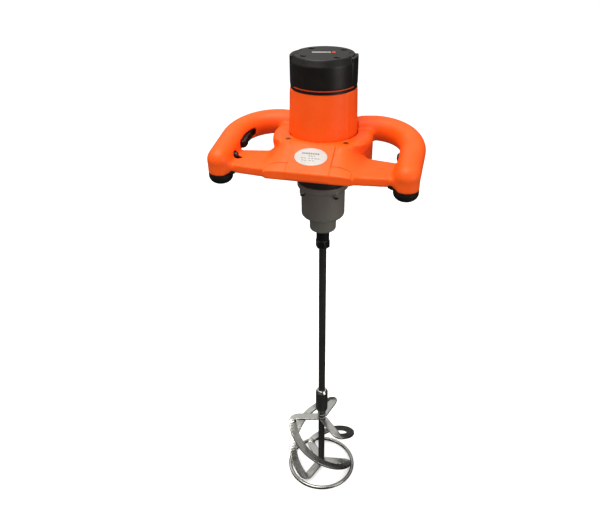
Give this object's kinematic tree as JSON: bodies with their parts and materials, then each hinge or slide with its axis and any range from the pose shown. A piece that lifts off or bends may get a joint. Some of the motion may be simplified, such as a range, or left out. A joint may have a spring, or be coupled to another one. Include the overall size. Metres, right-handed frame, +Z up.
{
  "type": "mortar mixing paddle",
  "caption": "Hand-held electric mortar mixer: cylindrical motor with a black cap, collar with two D-handles, grey gearbox and a long rod with a helical three-blade paddle and ring.",
  "frame": {"origin": "on the spindle axis at the lowest plane of the bottom ring", "axes": "+Z up along the spindle, the name-plate side faces -Y, +X to the right handle"},
  "size_m": [0.3302, 0.2252, 0.904],
  "materials": {
    "orange_plastic": "satin moulded",
    "black_plastic": "fine texture",
    "rubber": "matte",
    "plate": "satin",
    "zinc_steel": "zinc plated",
    "core_steel": "laminated",
    "copper": "lacquered",
    "carbon": "matte",
    "board": "matte",
    "black_metal": "blackened",
    "grey_casting": "as cast",
    "blade_steel": "satin"
  },
  "bodies": {
    "frame": {"upper_frame": "orange_plastic", "lower_frame": "orange_plastic", "front_cover": "orange_plastic", "motor_housing": "orange_plastic", "cap_gasket": "orange_plastic", "top_cap": "black_plastic", "cap_band": "black_plastic", "switch_body": "black_plastic", "left_bumper": "rubber", "right_bumper": "rubber", "cord_boot": "rubber", "supply_cord": "rubber", "spindle_seal": "rubber", "name_plate": "plate", "collar_screws": "zinc_steel", "grip_screws": "zinc_steel", "cap_screws": "zinc_steel", "upper_bearing": "zinc_steel", "lower_bearing": "zinc_steel", "idler_bearings": "zinc_steel", "spindle_bearings": "zinc_steel", "field_core": "core_steel", "field_coils": "copper", "brush_holders": "copper", "carbon_brushes": "carbon", "speed_module": "board", "gear_case": "black_metal", "gearbox_bolts": "black_metal", "gearbox_housing": "grey_casting"},
    "output": {"output_gear": "zinc_steel", "spindle": "black_metal", "lock_nut": "black_metal", "paddle_rod": "black_metal", "paddle_sleeve": "black_metal", "blade_1": "blade_steel", "blade_2": "blade_steel", "blade_3": "blade_steel", "bottom_ring": "blade_steel"},
    "idler": {"idler_shaft": "zinc_steel", "idler_gear": "zinc_steel"},
    "armature": {"armature_core": "core_steel", "armature_shaft": "zinc_steel", "commutator": "copper", "cooling_fan": "black_plastic"},
    "trigger": {"trigger": "black_plastic"},
    "lock_button": {"lock_button": "black_plastic"},
    "speed_dial": {"speed_dial": "black_plastic"}
  },
  "joints": [
    {"name": "spindle_spin", "type": "hinge", "parent": "frame", "child": "output", "pos_m": [0, 0, 0.64], "axis": [0, 0, 1], "continuous": true},
    {"name": "idler_spin", "type": "hinge", "parent": "frame", "child": "idler", "pos_m": [0, 0.01925, 0.7], "axis": [0, 0, 1], "continuous": true},
    {"name": "armature_spin", "type": "hinge", "parent": "frame", "child": "armature", "pos_m": [0, 0, 0.79], "axis": [0, 0, 1], "continuous": true},
    {"name": "trigger_press", "type": "hinge", "parent": "frame", "child": "trigger", "pos_m": [-0.1332, -0.03856, 0.76498], "axis": [0, -0.1736, 0.9848], "range_deg": [0, 5]},
    {"name": "lock_press", "type": "slide", "parent": "frame", "child": "lock_button", "axis": [-1, 0, 0], "range_m": [0, 0.003]},
    {"name": "speed_turn", "type": "hinge", "parent": "frame", "child": "speed_dial", "pos_m": [0.1362, -0.03954, 0.76481], "axis": [0, -0.1736, 0.9848], "range_deg": [-135, 135]}
  ],
  "couplings": [
    {"joint": "idler_spin", "follows": "spindle_spin", "ratio": -3.8889},
    {"joint": "armature_spin", "follows": "spindle_spin", "ratio": 19.877}
  ]
}
